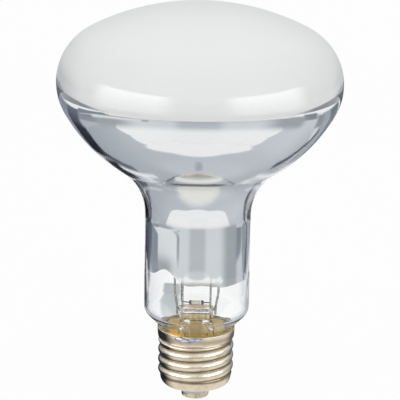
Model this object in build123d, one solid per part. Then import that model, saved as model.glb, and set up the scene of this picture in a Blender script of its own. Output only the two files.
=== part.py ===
from build123d import *
from math import cos, radians, sin, sqrt
import os

# All sizes in millimetres. Heights rise along Z from the tip of the centre contact.
# The viewer stands on the -Y side.

# Glass bulb, outside sizes
overall_length = 137.5
bulb_diameter = 96.0
crown_height = 26.5
rim_radius = 19.5
bowl_radius = 58.5
bowl_depth = 45.8
neck_fillet = 19.3
neck_diameter = 36.0
neck_base = 33.3
shoulder_radius = 4.6
seal_diameter = 22.4
seal_foot = 18.5
glass_wall = 1.0

# Screw cap, rolled from sheet
thread_crest = 26.0
thread_root = 24.4
thread_pitch = 3.629
thread_start = 3.75
crest_height = 17.9
ridge_foot = 1.75
ridge_flat = 0.5
shell_wall = 0.3
shell_rim = 25.3
collar_foot = 21.6
collar_flare = 0.2
collar_step = 0.15
cone_top = 9.4
cone_foot = 3.6
cone_mouth = 13.0
nose_step = 1.4
nose_rise = 1.7
nose_height = 3.6
root_relief = 0.1

# Contact end
contact_diameter = 9.4
contact_height = 1.9
contact_edge = 0.6
wire_hole = 3.2
lead_end = 0.4
nose_hole = 11.6
skirt_clearance = 0.2

# Glass stem
stem_diameter = 12.4
stem_wall = 1.0
flare_height = 4.0
press_width = 11.6
press_thickness = 4.4
press_foot = 26.0
press_top = 32.6
bore_top = 25.0
exhaust_diameter = 4.4
exhaust_bore = 2.6
exhaust_tip = 12.0

# Wires and mount
lead_diameter = 0.7
tail_diameter = 0.45
lead_spacing = 9.6
tail_spacing = 8.0
tail_rise = 2.0
tail_bend = 4.0
lead_level = 40.0
lead_lap = 0.4
seal_clearance = 1.2
tip_clearance = 1.0
riser_side = 5.5
riser_front = 8.5
riser_drop = 10.0
weld_inset = 2.0
frame_diameter = 0.8
frame_spread = 15.0
frame_rise = 2.0
frame_tail = 1.6
frame_bend = 4.9
collar_thickness = 0.4
collar_height = 1.2
collar_level = 31.2

# Arc tube
arc_diameter = 10.4
arc_wall = 1.0
arc_drop = 41.0
arc_length = 34.0
pinch_width = 9.0
pinch_thickness = 3.0
pinch_height = 8.0
strap_thickness = 0.6
strap_depth = 6.0
strap_inset = 4.0
electrode_diameter = 0.8
electrode_reach = 9.0
coil_diameter = 1.8
coil_length = 3.0
foil_inset = 2.5
foil_width = 2.2
foil_length = 4.0
foil_thickness = 0.1
pin_length = 7.0
probe_diameter = 0.5
probe_offset = 2.8
probe_reach = 5.5

# Ballast filament and starting resistor
filament_diameter = 1.2
filament_drop = 25.0
filament_front = 12.0
filament_side = 13.0
filament_back = 9.0
filament_taper = 2.0
filament_lead = 14.0
link_front = 3.0
hook_diameter = 0.6
bead_diameter = 3.2
bead_height = 3.0
resistor_diameter = 1.5
resistor_length = 3.4
resistor_cap = 0.8
resistor_height = 33.9
resistor_wire = 0.4
probe_wire_gap = 0.4
probe_wire_drop = 3.0

# Solder on the cap rim
side_azimuth = 257.0
solder_runs = [(-21.0, 20.0, 0.7), (-8.0, 18.0, 1.0), (6.0, 14.0, 0.6)]
solder_drop = 2.4
solder_bulge = 0.55
solder_crown = 0.75

equator_height = overall_length - crown_height
neck_top = equator_height - bowl_depth
bulb_radius = bulb_diameter / 2
neck_radius = neck_diameter / 2
seal_radius = seal_diameter / 2
half_lead = lead_spacing / 2
half_tail = tail_spacing / 2
half_frame = frame_spread / 2
frame_foot_x = press_width / 2 + collar_thickness + frame_diameter / 2
frame_top = equator_height + frame_rise
arc_base = equator_height - arc_drop
arc_top = arc_base + arc_length
pin_foot = arc_base - pinch_height - pin_length
pin_head = arc_top + pinch_height + pin_length
filament_height = equator_height - filament_drop
filament_points = [
    (-half_lead, -filament_front, filament_height),
    (-filament_side, -link_front, filament_height),
    (filament_taper - filament_side, filament_back, filament_height),
    (filament_side - filament_taper, filament_back, filament_height),
    (filament_side, -link_front, filament_height),
    (half_lead, -filament_front, filament_height),
]


def arc_about(centre, start, end):
    """Arc from start to end on the circle about centre, by the shorter way."""
    middle = ((start - centre).normalized() + (end - centre).normalized()).normalized()
    return ThreePointArc(start, centre + middle * (start - centre).length, end)


def toward(centre, target, distance):
    """Point at a distance from centre in the direction of target."""
    return centre + (target - centre).normalized() * distance


def bowl_centre(rim_centre, fillet_centre):
    """Centre of the bowl arc that runs tangent from the rim arc to the neck fillet."""
    span = fillet_centre - rim_centre
    near = bowl_radius - rim_radius
    far = bowl_radius + neck_fillet
    along = (near**2 - far**2 + span.length**2) / (2 * span.length)
    aside = sqrt(near**2 - along**2)
    step = span.normalized()
    return rim_centre + step * along + Vector(step.Y, -step.X) * aside


def bulb_outline(inset):
    """Edges of the bulb from its crown to its seal end, set in from the outside by inset."""
    rise = overall_length - equator_height
    reach = bulb_radius - rim_radius
    dome_radius = (reach**2 + rise**2 - rim_radius**2) / (2 * (rise - rim_radius))
    dome = Vector(0, overall_length - dome_radius)
    rim = Vector(reach, equator_height)
    fillet_at = Vector(neck_radius + neck_fillet, neck_top)
    bowl = bowl_centre(rim, fillet_at)
    shoulder = Vector(neck_radius - shoulder_radius, neck_base)
    slope = Vector(1, -1).normalized()

    crown = Vector(0, overall_length - inset)
    dome_end = toward(dome, rim, dome_radius - inset)
    rim_end = toward(rim, rim * 2 - bowl, rim_radius - inset)
    bowl_end = toward(bowl, fillet_at, bowl_radius - inset)
    neck_head = Vector(neck_radius - inset, neck_top)
    neck_foot = Vector(neck_radius - inset, neck_base)
    cone_start = shoulder + slope * (shoulder_radius - inset)
    seal_head = Vector(seal_radius - inset, cone_start.Y - cone_start.X + seal_radius - inset)
    foot = Vector(seal_radius - inset, seal_foot)
    return [
        arc_about(dome, crown, dome_end),
        arc_about(rim, dome_end, rim_end),
        arc_about(bowl, rim_end, bowl_end),
        arc_about(fillet_at, bowl_end, neck_head),
        Line(neck_head, neck_foot),
        arc_about(shoulder, neck_foot, cone_start),
        Line(cone_start, seal_head),
        Line(seal_head, foot),
    ]


def turned(edges):
    """Solid of revolution about Z from edges drawn as radius and height."""
    return revolve(Plane.XZ * make_face(edges), Axis.Z)


def turned_polygon(*points):
    """Solid of revolution about Z from a closed polygon of radius and height."""
    return turned(Polyline(*points, close=True))


def wire(points, diameter):
    """Wire along straight runs with mitred corners, drawn with eight flats."""
    path = Polyline(*points)
    section = Plane(path @ 0, z_dir=path % 0) * RegularPolygon(diameter / 2, 8)
    return sweep(section, path, transition=Transition.RIGHT)


def rod(start, end, diameter):
    """Straight length of wire between two points."""
    return wire([start, end], diameter)


def upright(diameter, low, high, x=0.0, y=0.0):
    """Cylinder standing on Z between two heights."""
    anchor = (Align.CENTER, Align.CENTER, Align.MIN)
    return Pos(x, y, low) * Cylinder(diameter / 2, high - low, align=anchor)


def glass_envelope():
    """Blown bulb: frosted crown, bowl, neck and seal end in one wall."""
    outside = bulb_outline(0)
    inside = bulb_outline(glass_wall)
    crown = Line(outside[0] @ 0, inside[0] @ 0)
    mouth = Line(outside[-1] @ 1, inside[-1] @ 1)
    return turned(outside + [mouth] + inside + [crown])


def glass_stem(wires):
    """Flared tube, press and exhaust tube fused in one, pierced by the wires."""
    tube = stem_diameter / 2
    bore = tube - stem_wall
    rim = seal_radius - glass_wall
    flare_top = seal_foot + flare_height
    pipe = exhaust_diameter / 2
    roof = press_foot + tube - press_thickness / 2
    ceiling = roof - 2 * stem_wall
    body = turned_polygon(
        (rim, seal_foot),
        (rim, seal_foot + stem_wall),
        (tube, flare_top + stem_wall),
        (tube, press_foot),
        (press_thickness / 2, roof),
        (0, roof),
        (0, ceiling),
        (pipe, ceiling),
        (bore, bore_top),
        (bore, flare_top),
        (rim - stem_wall, seal_foot),
    )
    flat = Plane.XY.offset(press_foot) * SlotOverall(press_width, press_thickness)
    well = turned_polygon((0, bore_top), (bore, bore_top), (pipe, ceiling), (0, ceiling))
    body += extrude(flat, press_top - press_foot) - well
    body += rod((0, 0, exhaust_tip), (0, 0, roof - stem_wall), exhaust_diameter)
    body -= rod((0, 0, exhaust_tip + stem_wall), (0, 0, ceiling), exhaust_bore)
    for piece in wires:
        body -= piece
    return body


def lead_head(side, points):
    """Thick lead from the stem press up to its last point in the bulb."""
    x = side * half_lead
    tail = [(side * half_tail, 0, bore_top - tail_rise), (x, 0, bore_top)]
    return wire(tail + [(x, 0, lead_level)] + points, lead_diameter)


def around(radius, azimuth, height):
    """Point at a radius and azimuth about the lamp axis."""
    return (radius * cos(radians(azimuth)), radius * sin(radians(azimuth)), height)


def shell_lead():
    """Lead from the filament down to the cap rim, where it is soldered."""
    start = (-half_lead, -filament_front, filament_height - filament_lead)
    head = lead_head(-1, [start, filament_points[0]])
    low = seal_foot - seal_clearance
    over = shell_rim + tail_diameter
    gap = (seal_radius + thread_root / 2 - shell_wall) / 2
    bend = (bulb_outline(0)[-1] @ 0).Y - tail_diameter
    points = [
        (-half_tail, 0, bore_top - tail_rise),
        (-half_tail, 0, low),
        around(gap, side_azimuth, low),
        around(gap, side_azimuth, bend),
        around(thread_crest / 2 - lead_lap, side_azimuth, over),
        around(thread_crest / 2 + lead_lap / 2, side_azimuth, over),
    ]
    return head + wire(points, tail_diameter)


def contact_lead():
    """Lead from the upper arc tube pin down to the centre contact."""
    front = (riser_side, -riser_front)
    weld = pin_head - weld_inset
    tops = [(*front, arc_base - riser_drop), (*front, weld), (0, 0, weld)]
    head = lead_head(1, tops)
    bend = exhaust_tip - tip_clearance
    points = [
        (half_tail, 0, bore_top - tail_rise),
        (half_tail, 0, bend),
        (0, 0, bend - tail_bend),
        (0, 0, lead_end),
    ]
    return head + wire(points, tail_diameter)


def frame_wire(side):
    """Support wire from the stem collar up past the arc tube."""
    foot = side * frame_foot_x
    spread = side * half_frame
    low = (foot, 0, collar_level - frame_tail)
    bend = press_top + frame_bend
    points = [low, (foot, 0, press_top), (spread, 0, bend), (spread, 0, frame_top)]
    return wire(points, frame_diameter)


def stem_collar():
    """Metal band clamped around the press, carrying the frame wires."""
    grow = 2 * collar_thickness
    outer = SlotOverall(press_width + grow, press_thickness + grow)
    band = outer - SlotOverall(press_width, press_thickness)
    return extrude(Plane.XY.offset(collar_level) * band, collar_height)


def arc_tube(inserts):
    """Fused quartz tube with a flat pinch at each end, closed on its wires."""
    outer = arc_diameter / 2
    inner = outer - arc_wall
    throat = pinch_thickness / 2
    low = arc_base + outer - throat
    high = arc_top - outer + throat
    body = turned_polygon(
        (0, arc_base - arc_wall),
        (throat, arc_base - arc_wall),
        (outer, low),
        (outer, high),
        (throat, arc_top + arc_wall),
        (0, arc_top + arc_wall),
    )
    reach = pinch_height / 2 - arc_wall
    for middle in (arc_base - reach, arc_top + reach):
        pinch = Box(pinch_width, pinch_thickness, pinch_height + 2 * arc_wall)
        body += Pos(0, 0, middle) * pinch
    body -= upright(2 * inner, low, high)
    for piece in inserts:
        body -= piece
    return body


def arc_tube_straps():
    """Two flat straps that clasp the pinches and reach the frame wires."""
    width = frame_spread - frame_diameter
    plate = Box(width, strap_depth, strap_thickness)
    plate -= Box(pinch_width, pinch_thickness, strap_thickness)
    low = arc_base - strap_inset
    high = arc_top + strap_inset
    return [Pos(0, 0, low) * plate, Pos(0, 0, high) * plate]


def foil_span(side):
    """Start and end height of the foil in the lower or upper pinch."""
    edge = arc_base if side < 0 else arc_top
    return edge + side * foil_inset, edge + side * (foil_inset + foil_length)


def electrode(side):
    """Tungsten rod with a wound tip, from the foil into the arc tube."""
    edge = arc_base if side < 0 else arc_top
    tip = edge - side * electrode_reach
    stalk = rod((0, 0, foil_span(side)[0]), (0, 0, tip), electrode_diameter)
    winding = rod((0, 0, tip + side * coil_length), (0, 0, tip), coil_diameter)
    return stalk + winding


def starting_probe():
    """Thin starting electrode beside the lower main electrode."""
    low = (probe_offset, 0, foil_span(-1)[0])
    return rod(low, (probe_offset, 0, arc_base + probe_reach), probe_diameter)


def foil_places():
    """Side and offset of each foil: main lower, main upper, probe."""
    return [(-1, 0.0), (1, 0.0), (-1, probe_offset)]


def seal_foils():
    """Molybdenum foils sealed flat in the pinches."""
    foils = []
    for side, x in foil_places():
        start, end = foil_span(side)
        plate = Box(foil_width, foil_thickness, foil_length)
        foils.append(Pos(x, 0, (start + end) / 2) * plate)
    return foils


def arc_tube_pins():
    """Round pins that leave the pinches from the outer end of each foil."""
    pins = []
    for side, x in foil_places():
        start = foil_span(side)[1]
        end = pin_foot if side < 0 else pin_head
        pins.append(rod((x, 0, start), (x, 0, end), electrode_diameter))
    return pins


def ballast_filament(others):
    """Coiled tungsten ballast strung round the arc tube, as its outer tube."""
    body = wire(filament_points, filament_diameter)
    for piece in others:
        body -= piece
    return body


def filament_beads(frames):
    """Glass beads on the frame wires that insulate the hooks."""
    beads = []
    low = filament_height - bead_height / 2
    for side, frame in zip((-1, 1), frames):
        x = side * half_frame
        bead = rod((x, 0, low), (x, 0, low + bead_height), bead_diameter)
        beads.append(bead - frame)
    return beads


def filament_hooks(beads, frames):
    """Wire hooks from the beads out to the corners of the filament."""
    hooks = []
    for corner in filament_points[1:-1]:
        side = 1 if corner[0] > 0 else -1
        hook = rod((side * half_frame, 0, filament_height), corner, hook_diameter)
        for piece in beads + frames:
            hook -= piece
        hooks.append(hook)
    return hooks


def filament_link(pins):
    """Wire from the far end of the filament to the lower arc tube pin."""
    weld = pin_foot + weld_inset
    end = filament_points[-1]
    start = (half_lead, -filament_front, filament_height - filament_lead)
    body = wire([end, start, (0, -link_front, weld), (0, 0, weld)], lead_diameter)
    for piece in pins:
        body -= piece
    return body


def starting_resistor():
    """Small ceramic rod of the starting resistor above the press."""
    half = resistor_length / 2
    return rod((-half, 0, resistor_height), (half, 0, resistor_height), resistor_diameter)


def resistor_caps(leads, pins):
    """End caps of the resistor with their thin wires."""
    half = resistor_length / 2
    end = half + resistor_cap
    z = resistor_height
    inside = end - resistor_wire / 2
    run = half_lead + probe_wire_gap
    back = lead_diameter
    weld = pin_foot + weld_inset
    level = weld - probe_wire_drop
    right = rod((half, 0, z), (end, 0, z), resistor_diameter)
    right += rod((inside, 0, z), (half_lead, 0, z), resistor_wire)
    left = rod((-half, 0, z), (-end, 0, z), resistor_diameter)
    riser = [
        (-inside, 0, z),
        (-run, back, z),
        (-run, back, level),
        (probe_offset, back, level),
        (probe_offset, 0, weld),
    ]
    left += wire(riser, resistor_wire)
    for piece in leads + pins:
        right -= piece
        left -= piece
    return [left, right]


def thread_blank():
    """Root cylinder wound with its right-hand ridge, longer than the cap at both ends."""
    root = thread_root / 2
    rise = (thread_crest - thread_root) / 2
    start = crest_height - thread_start * thread_pitch
    path = Helix(thread_pitch, collar_foot + thread_pitch / 2 - start, root)
    outline = [
        (-rise, -ridge_foot),
        (rise, -ridge_flat),
        (rise, ridge_flat),
        (-rise, ridge_foot),
    ]
    frame = Plane(origin=(root, 0, 0), x_dir=(1, 0, 0), z_dir=(0, -1, 0))
    ridge = sweep(frame * make_face(Polyline(*outline, close=True)), path, is_frenet=True)
    return upright(thread_root, cone_foot, shell_rim) + Pos(0, 0, start) * ridge


def nose_outline(inset):
    """Radius and height of the cap from its nose up to the thread, set in by inset."""
    return [
        (cone_mouth / 2 - inset, cone_foot + inset),
        (thread_root / 2 - nose_step - inset, cone_foot + nose_rise + inset),
        (thread_root / 2 - root_relief - inset, cone_foot + nose_height + inset),
    ]


def collar_outline(inset):
    """Radius and height of the plain collar above the thread, set in by inset."""
    radius = thread_crest / 2 + collar_step - inset
    return [
        (radius - 2 * collar_step, collar_foot),
        (radius, collar_foot + 2 * collar_step),
        (radius + collar_flare, shell_rim),
    ]


def shell_solid():
    """Outside of the cap as a full body: nose, threaded barrel and collar."""
    reach = thread_crest / 2 + collar_step
    axis_low = (0, cone_foot)
    axis_high = (0, shell_rim)
    limit = turned_polygon(axis_low, *nose_outline(0), (reach, cone_top), (reach, shell_rim), axis_high)
    collar = turned_polygon((0, collar_foot), *collar_outline(0), axis_high)
    return (thread_blank() & limit) + collar


def cap_shell(outside):
    """Sheet metal screw shell: right-hand thread, plain collar and open nose."""
    bore = thread_root / 2 - shell_wall
    hollow = turned_polygon(
        (0, cone_foot),
        (nose_hole / 2, cone_foot),
        (nose_hole / 2, cone_foot + shell_wall),
        *nose_outline(shell_wall),
        (bore, collar_foot - shell_wall),
        *collar_outline(shell_wall)[1:],
        (0, shell_rim),
    )
    return outside - hollow


def cap_cement(leads):
    """Ring of brown basing cement between the glass and the collar."""
    low, high = collar_outline(shell_wall)[1:]
    glass = bulb_outline(0)[-1] @ 0
    brim = (glass.X + high[1] - glass.Y, high[1])
    body = turned_polygon((glass.X, low[1]), low, high, brim, (glass.X, glass.Y))
    for piece in leads:
        body -= piece
    return body


def cap_insulator():
    """Glass plug in the cap nose, with its skirt down to the contact."""
    nose = nose_outline(shell_wall)
    hole = wire_hole / 2
    return turned_polygon(
        (hole, contact_height),
        (contact_diameter / 2 + skirt_clearance, contact_height),
        (nose_hole / 2, cone_foot),
        (nose_hole / 2, cone_foot + shell_wall),
        *nose,
        (hole, nose[-1][1]),
    )


def centre_contact():
    """Contact disc with a bevelled edge and a hole for the lead."""
    edge = contact_diameter / 2
    hole = wire_hole / 2
    return turned_polygon(
        (hole, 0),
        (edge - contact_edge, 0),
        (edge, contact_edge),
        (edge, contact_height),
        (hole, contact_height),
    )


def contact_solder(lead):
    """Plug of solder that fills the hole of the contact around the lead."""
    return upright(wire_hole, 0, contact_height) - lead


def side_solder(lead, outside):
    """Uneven run of solder over the rim where the shell lead ends."""
    radius = thread_crest / 2 + collar_step + collar_flare
    body = None
    for turn, sweep_angle, share in solder_runs:
        drop = share * solder_drop
        section = Polyline(
            (radius - solder_bulge, shell_rim + solder_crown),
            (radius + solder_bulge / 2, shell_rim + solder_crown / 2),
            (radius + solder_bulge, shell_rim - drop / 2),
            (radius - solder_bulge, shell_rim - drop),
            close=True,
        )
        run = revolve(Plane.XZ * make_face(section), Axis.Z, sweep_angle)
        run = Rot(Z=side_azimuth + turn) * run
        body = run if body is None else body + run
    return body - outside - lead


def lamp():
    """Every piece of the lamp by its node name."""
    leads = [shell_lead(), contact_lead()]
    frames = [frame_wire(-1), frame_wire(1)]
    electrodes = [electrode(-1), electrode(1)]
    probe = starting_probe()
    foils = seal_foils()
    pins = arc_tube_pins()
    beads = filament_beads(frames)
    hooks = filament_hooks(beads, frames)
    link = filament_link(pins)
    outside = shell_solid()
    return {
        "glass_envelope": glass_envelope(),
        "glass_stem": glass_stem(leads),
        "stem_collar": stem_collar(),
        "shell_lead": leads[0],
        "contact_lead": leads[1] - pins[1],
        "frame_wire_left": frames[0],
        "frame_wire_right": frames[1],
        "arc_tube": arc_tube(electrodes + [probe] + foils + pins),
        "arc_tube_straps": arc_tube_straps(),
        "electrode_lower": electrodes[0],
        "electrode_upper": electrodes[1],
        "starting_probe": probe,
        "seal_foils": foils,
        "arc_tube_pins": pins,
        "ballast_filament": ballast_filament([leads[0], link] + hooks),
        "filament_beads": beads,
        "filament_hooks": hooks,
        "filament_link": link,
        "starting_resistor": starting_resistor(),
        "resistor_caps": resistor_caps(leads, pins),
        "cap_shell": cap_shell(outside),
        "cap_cement": cap_cement(leads),
        "cap_insulator": cap_insulator(),
        "centre_contact": centre_contact(),
        "contact_solder": contact_solder(leads[1]),
        "side_solder": side_solder(leads[0], outside),
    }


os.makedirs("parts", exist_ok=True)
for node, shape in lamp().items():
    solid = Compound(shape) if isinstance(shape, list) else shape
    export_step(solid, f"parts/{node}.step")
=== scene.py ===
"""Looks of a reflector bulb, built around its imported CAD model."""

import math
import bmesh
import bpy
from mathutils import Matrix, Vector, noise


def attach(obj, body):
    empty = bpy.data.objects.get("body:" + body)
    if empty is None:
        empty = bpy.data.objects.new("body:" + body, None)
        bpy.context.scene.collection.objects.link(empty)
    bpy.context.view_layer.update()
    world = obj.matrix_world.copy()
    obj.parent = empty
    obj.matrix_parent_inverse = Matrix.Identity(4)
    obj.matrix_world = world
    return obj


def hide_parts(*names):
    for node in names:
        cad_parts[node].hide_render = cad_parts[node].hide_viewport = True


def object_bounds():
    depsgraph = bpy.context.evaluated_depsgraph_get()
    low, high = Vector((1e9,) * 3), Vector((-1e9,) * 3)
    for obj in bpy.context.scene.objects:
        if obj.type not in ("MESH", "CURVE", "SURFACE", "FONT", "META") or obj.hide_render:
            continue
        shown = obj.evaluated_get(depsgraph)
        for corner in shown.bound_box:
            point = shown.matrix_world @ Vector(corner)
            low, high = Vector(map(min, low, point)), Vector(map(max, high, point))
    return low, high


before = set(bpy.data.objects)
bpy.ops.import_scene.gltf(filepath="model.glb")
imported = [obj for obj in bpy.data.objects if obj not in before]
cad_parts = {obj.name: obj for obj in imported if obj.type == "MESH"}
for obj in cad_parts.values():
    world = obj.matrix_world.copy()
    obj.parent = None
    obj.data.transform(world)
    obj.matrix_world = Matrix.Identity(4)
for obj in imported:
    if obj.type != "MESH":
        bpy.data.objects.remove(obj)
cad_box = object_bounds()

bl_info = {
    "name": "Reflector bulb",
    "version": (1, 0, 0),
    "blender": (4, 5, 0),
    "location": "3D View > Sidebar > Bulb",
    "description": "Frosted and mirrored reflector bulb with a clear neck and a screw cap",
    "category": "Object",
}

MM = 0.001
# Points nearer than this are one point.
CLOSE = 1e-6
BLACK = (0, 0, 0)
WHITE = (1, 1, 1)


def length(name, description, millimetres):
    """A size in the CAD frame, shown with its unit."""
    return bpy.props.FloatProperty(
        name=name, description=description, default=millimetres * MM, unit="LENGTH", precision=5
    )


def angle(name, description, degrees):
    """An angle, shown in degrees."""
    return bpy.props.FloatProperty(
        name=name, description=description, default=math.radians(degrees), subtype="ANGLE"
    )


def amount(name, description, value):
    """A plain number."""
    return bpy.props.FloatProperty(name=name, description=description, default=value)


def colour(name, description, red, green, blue):
    """A colour, as a surface shows it in white light."""
    return bpy.props.FloatVectorProperty(
        name=name, description=description, default=(red, green, blue), subtype="COLOR", min=0, max=1
    )


class BulbSizes(bpy.types.PropertyGroup):
    """Blown bulb, outside sizes."""

    overall_length: length("Overall length", "Contact tip to crown", cad_box[1].z / MM)
    bulb_diameter: length("Bulb diameter", "Across the equator", (cad_box[1].x - cad_box[0].x) / MM)
    crown_height: length("Crown height", "Equator to crown", 26.5)
    rim_radius: length("Rim radius", "Arc between the dome and the bowl", 19.5)
    bowl_radius: length("Bowl radius", "Arc of the mirrored bowl", 58.5)
    bowl_depth: length("Bowl depth", "Equator to the head of the neck", 45.8)
    neck_fillet: length("Neck fillet", "Arc between the bowl and the neck", 19.3)
    inner_fillet: length("Inner fillet", "The same arc on the inside of the wall", 23.5)
    neck_diameter: length("Neck diameter", "Across the neck", 36.0)
    neck_base: length("Neck base", "Height where the shoulder starts", 33.3)
    shoulder_radius: length("Shoulder radius", "Arc at the foot of the neck", 4.6)
    shoulder_turn: angle("Shoulder turn", "How far that arc turns in", 45.0)
    seal_diameter: length("Seal diameter", "Across the seal end in the cap", 22.4)
    seal_foot: length("Seal foot", "Height of the seal end", 18.5)
    glass_wall: length("Glass wall", "Thickness of the bulb", 1.0)
    frost_edge: length("Frost edge", "Height where the frosting ends", 108.5)
    mirror_edge: length("Mirror edge", "Height where the mirror ends at the front", 44.3)
    mirror_rise: length("Mirror rise", "How much higher the mirror ends at the left", 5.6)
    thin_height: length("Thin height", "Height of the thin arch in the mirror at the front", 6.4)
    thin_width: length("Thin width", "Width of the thin arch in the mirror at the front", 15.4)
    film_height: length("Film height", "Height of the wall that holds the thin arch", 11.0)
    film_turn: angle("Film turn", "How far that wall goes to each side of the front", 34.4)


class CapSizes(bpy.types.PropertyGroup):
    """Screw cap, outside sizes."""

    thread_crest: length("Thread crest", "Diameter over the crests", 26.0)
    thread_root: length("Thread root", "Diameter in the roots", 24.4)
    thread_pitch: length("Thread pitch", "Rise of one turn", 3.629)
    thread_start: length("Thread start", "Height above the nose where the thread is full", 2.6)
    thread_end: length("Thread end", "Height under the collar where the thread fades", 1.2)
    crest_height: length("Crest height", "Height of a crest at the front", 17.9)
    shell_wall: length("Shell wall", "Thickness of the sheet", 0.3)
    shell_rim: length("Shell rim", "Height of the upper rim", 25.3)
    collar_foot: length("Collar foot", "Height where the plain collar starts", 21.6)
    collar_radius: length("Collar radius", "Radius at the foot of the plain collar", 13.15)
    collar_flare: length("Collar flare", "How much wider the collar is at its rim", 0.2)
    nose_foot: length("Nose foot", "Height of the lower end of the shell", 3.6)
    nose_mouth: length("Nose mouth", "Radius of the shell at its lower end", 6.5)
    nose_round: length("Nose round", "Arc between the nose and the thread", 3.0)
    nose_turn: angle("Nose turn", "How far that arc turns", 68.0)
    nose_height: length("Nose height", "Height where the nose meets the thread", 7.6)
    contact_radius: length("Contact radius", "Radius of the centre contact", 4.7)
    contact_height: length("Contact height", "Height of the centre contact", 1.9)
    contact_edge: length("Contact edge", "Round edge of the centre contact", 0.7)
    plug_radius: length("Plug radius", "Radius of the solder in the contact", 1.6)
    solder_azimuth: angle("Solder azimuth", "Place of the side solder, from the front to the right", -13.0)


class StemSizes(bpy.types.PropertyGroup):
    """Glass stem and the wires that it carries."""

    tube_radius: length("Tube radius", "Outside radius of the stem tube", 6.2)
    stem_wall: length("Stem wall", "Thickness of the stem tube", 1.0)
    flare_radius: length("Flare radius", "Radius of the flare at the seal", 10.2)
    press_width: length("Press width", "Width of the flat press", 11.6)
    press_depth: length("Press depth", "Thickness of the flat press", 4.4)
    press_top: length("Press top", "Height of the press", 32.6)
    press_foot: length("Press foot", "Height where the tube starts to flatten", 24.5)
    exhaust_radius: length("Exhaust radius", "Radius of the exhaust tube", 2.2)
    exhaust_tip: length("Exhaust tip", "Height of the sealed tip of the exhaust tube", 12.0)
    lead_radius: length("Lead radius", "Radius of the leads above the press", 0.35)
    tail_radius: length("Tail radius", "Radius of the leads under the press", 0.225)
    frame_radius: length("Frame radius", "Radius of the frame wires", 0.4)
    thin_radius: length("Thin radius", "Radius of the resistor's wires", 0.2)
    band_height: length("Band height", "Height of the band round the press", 1.2)
    band_level: length("Band level", "Lower edge of the band", 31.2)
    band_wall: length("Band wall", "Thickness of the band", 0.4)
    rod_radius: length("Rod radius", "Radius of the starting resistor", 0.75)
    rod_length: length("Rod length", "Length of its body", 3.4)
    rod_cap: length("Rod cap", "Length of each of its end caps", 0.8)
    rod_level: length("Rod level", "Height of the starting resistor", 33.9)


class FinishColours(bpy.types.PropertyGroup):
    """Colours of the finishes."""

    frost: colour("Frost", "Frosted crown", 0.93, 0.947, 0.940)
    frost_speckle: colour("Frost speckle", "Darker grains in the frosting", 0.62, 0.64, 0.66)
    # Painted shade at the back and low at the sides of the frosting; also its darker lower edge.
    frost_shade: colour("Thin frost", "Glass that shows through thin frosting", 0.12, 0.15, 0.18)
    frost_bare: colour("Bare line", "Bare glass under the frosting at the sides", 0.09, 0.11, 0.14)
    mirror: colour("Mirror", "Aluminium mirror behind the glass", 0.94, 0.945, 0.95)
    mirror_dull: colour("Dull mirror", "Clouds in the mirror", 0.87, 0.885, 0.905)
    mirror_line: colour("Mirror line", "Upper edge of the mirror", 0.20, 0.21, 0.24)
    arch_line: colour("Arch line", "Lower edge of the thin arch in the mirror", 0.20, 0.20, 0.15)
    glass: colour("Glass", "Clear glass", 0.985, 0.995, 1.0)
    plating: colour("Plating", "Nickel plating of the cap", 0.82, 0.75, 0.62)
    plating_worn: colour("Worn plating", "Worn spots of the plating", 0.86, 0.70, 0.60)
    # Painted shade in the roots of the thread.
    thread_shade: colour("Thread dirt", "Dirt in the roots of the thread", 0.16, 0.125, 0.07)
    tarnish: colour("Tarnish", "Tarnish on the plating", 0.46, 0.38, 0.26)
    brass: colour("Brass", "Bare inside of the cap", 0.72, 0.52, 0.22)
    cement: colour("Cement", "Basing cement", 0.66, 0.42, 0.12)
    # Painted glint on the cement at the front left.
    cement_glint: colour("Light cement", "Resin in the basing cement", 0.95, 0.50, 0.09)
    cement_olive: colour("Olive cement", "Top of the basing cement and lumps in it", 0.70, 0.60, 0.30)
    solder: colour("Solder", "Tin solder", 0.56, 0.58, 0.61)
    wire: colour("Wire", "Nickel wire", 0.52, 0.50, 0.47)
    tungsten: colour("Tungsten", "Tungsten wire", 0.20, 0.20, 0.22)
    insulator: colour("Insulator", "Pale glass of the cap end", 0.76, 0.83, 0.87)
    insulator_dull: colour("Dull insulator", "Clouds in that glass", 0.60, 0.67, 0.72)
    stem: colour("Stem", "Glass of the stem", 0.97, 0.985, 0.98)
    # Painted light: pale streaks that glow in the press.
    stem_streak_glow: colour("Stem streaks", "Pale streaks in the press", 1.0, 1.0, 0.90)
    quartz: colour("Quartz", "Arc tube", 0.98, 0.98, 1.0)
    contact: colour("Contact", "Centre contact", 0.70, 0.64, 0.54)
    rod: colour("Resistor", "Body of the starting resistor", 0.92, 0.90, 0.86)
    rod_band: colour("Resistor band", "Bands of the starting resistor", 0.34, 0.24, 0.20)


class StageSizes(bpy.types.PropertyGroup):
    """Camera and light."""

    aim_height: length("Aim height", "Height on the lamp axis that the camera stands off from", 72.0)
    distance: length("Distance", "Camera to the lamp axis", 690.0)
    elevation: angle("Elevation", "How far the camera looks down", 15.06)
    roll: angle("Roll", "Lean of the camera", 0.94)
    side_aim: length("Side aim", "How far the picture's middle is to the right of the axis", 0.60)
    low_aim: length("Low aim", "How far the picture's middle is below the aim height", 1.776)
    lens: bpy.props.FloatProperty(name="Lens", description="Focal length in millimetres", default=183.2)
    sky_level: amount("Sky level", "Strength of the light from above", 1.0)
    low_level: amount("Low level", "Strength of the light from low down", 0.35)
    key_power: amount("Key power", "Power of each front soft light in watts", 0.6)
    key_width: length("Key width", "Width of each front soft light", 500.0)
    key_depth: length("Key depth", "Height of each front soft light", 300.0)
    key_side: length("Key side", "How far each stands to its side", 450.0)
    key_front: length("Key front", "How far each stands in front", 650.0)
    key_height: length("Key height", "How high each stands", 200.0)
    key_aim: length("Key aim", "Height on the lamp axis that they light", 110.0)
    panel_level: amount("Panel level", "Brightness of the front panels in the gloss", 4.9)
    shadow_share: amount("Shadow share", "Share of the floor that takes shadow", 0.03)


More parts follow.
